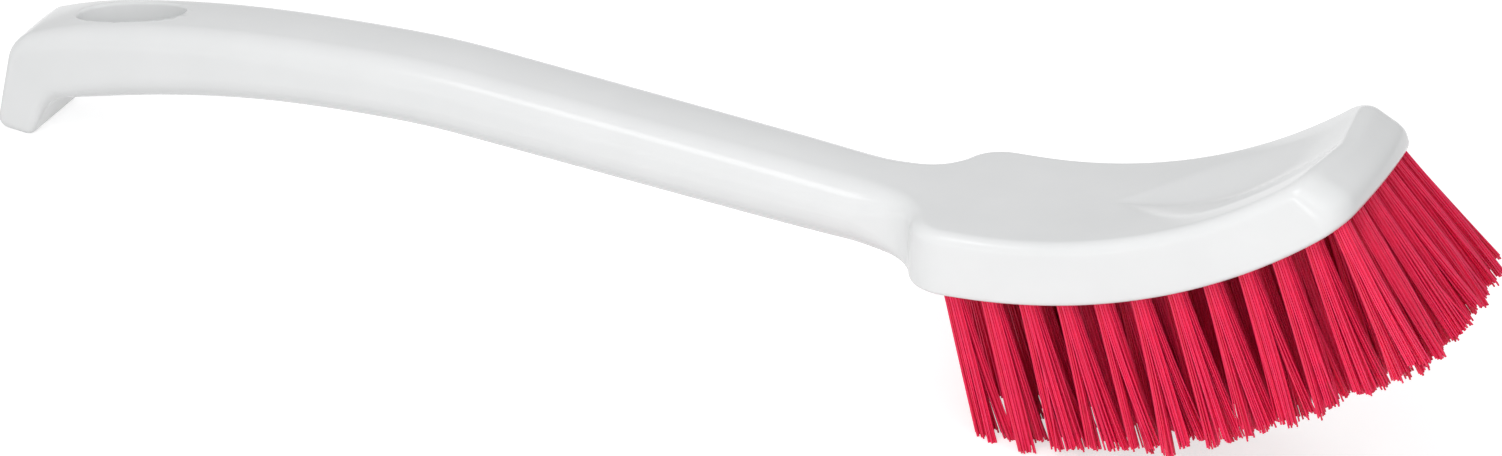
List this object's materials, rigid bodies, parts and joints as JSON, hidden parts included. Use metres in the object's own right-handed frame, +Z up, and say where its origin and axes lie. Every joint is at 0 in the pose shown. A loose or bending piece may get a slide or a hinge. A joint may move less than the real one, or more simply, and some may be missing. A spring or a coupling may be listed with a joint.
{
  "type": "long-handled cleaning brush",
  "caption": "Curved hand brush with a hooked, pierced handle, a wide upswept head and rows of stiff tufts on its underside.",
  "frame": {"origin": "on the table, under the middle of the object's box, on its plane of symmetry", "axes": "+X from the hooked end to the head, +Y across the handle, +Z up from the table that the brush rests on, bristles down"},
  "size_m": [0.3114, 0.0548, 0.0757],
  "materials": {
    "white_plastic": "glossy moulded polypropylene",
    "red_bristle": "stiff polyester filament in flared tufts"
  },
  "bodies": {
    "root": {"brush_body": "white_plastic", "tuft_centre_01": "red_bristle", "tuft_centre_02": "red_bristle", "tuft_centre_03": "red_bristle", "tuft_centre_04": "red_bristle", "tuft_centre_05": "red_bristle", "tuft_centre_06": "red_bristle", "tuft_centre_07": "red_bristle", "tuft_centre_08": "red_bristle", "tuft_centre_09": "red_bristle", "tuft_centre_10": "red_bristle", "tuft_centre_11": "red_bristle", "tuft_far_01": "red_bristle", "tuft_far_02": "red_bristle", "tuft_far_03": "red_bristle", "tuft_far_04": "red_bristle", "tuft_far_05": "red_bristle", "tuft_far_06": "red_bristle", "tuft_far_07": "red_bristle", "tuft_far_08": "red_bristle", "tuft_far_09": "red_bristle", "tuft_far_10": "red_bristle", "tuft_far_11": "red_bristle", "tuft_front_01": "red_bristle", "tuft_front_02": "red_bristle", "tuft_front_03": "red_bristle", "tuft_front_04": "red_bristle", "tuft_front_05": "red_bristle", "tuft_front_06": "red_bristle", "tuft_front_07": "red_bristle", "tuft_mid_far_01": "red_bristle", "tuft_mid_far_02": "red_bristle", "tuft_mid_far_03": "red_bristle", "tuft_mid_far_04": "red_bristle", "tuft_mid_far_05": "red_bristle", "tuft_mid_far_06": "red_bristle", "tuft_mid_far_07": "red_bristle", "tuft_mid_far_08": "red_bristle", "tuft_mid_far_09": "red_bristle", "tuft_mid_near_01": "red_bristle", "tuft_mid_near_02": "red_bristle", "tuft_mid_near_03": "red_bristle", "tuft_mid_near_04": "red_bristle", "tuft_mid_near_05": "red_bristle", "tuft_mid_near_06": "red_bristle", "tuft_mid_near_07": "red_bristle", "tuft_mid_near_08": "red_bristle", "tuft_mid_near_09": "red_bristle", "tuft_near_01": "red_bristle", "tuft_near_02": "red_bristle", "tuft_near_03": "red_bristle", "tuft_near_04": "red_bristle", "tuft_near_05": "red_bristle", "tuft_near_06": "red_bristle", "tuft_near_07": "red_bristle", "tuft_near_08": "red_bristle", "tuft_near_09": "red_bristle", "tuft_near_10": "red_bristle", "tuft_near_11": "red_bristle"}
  },
  "joints": []
}
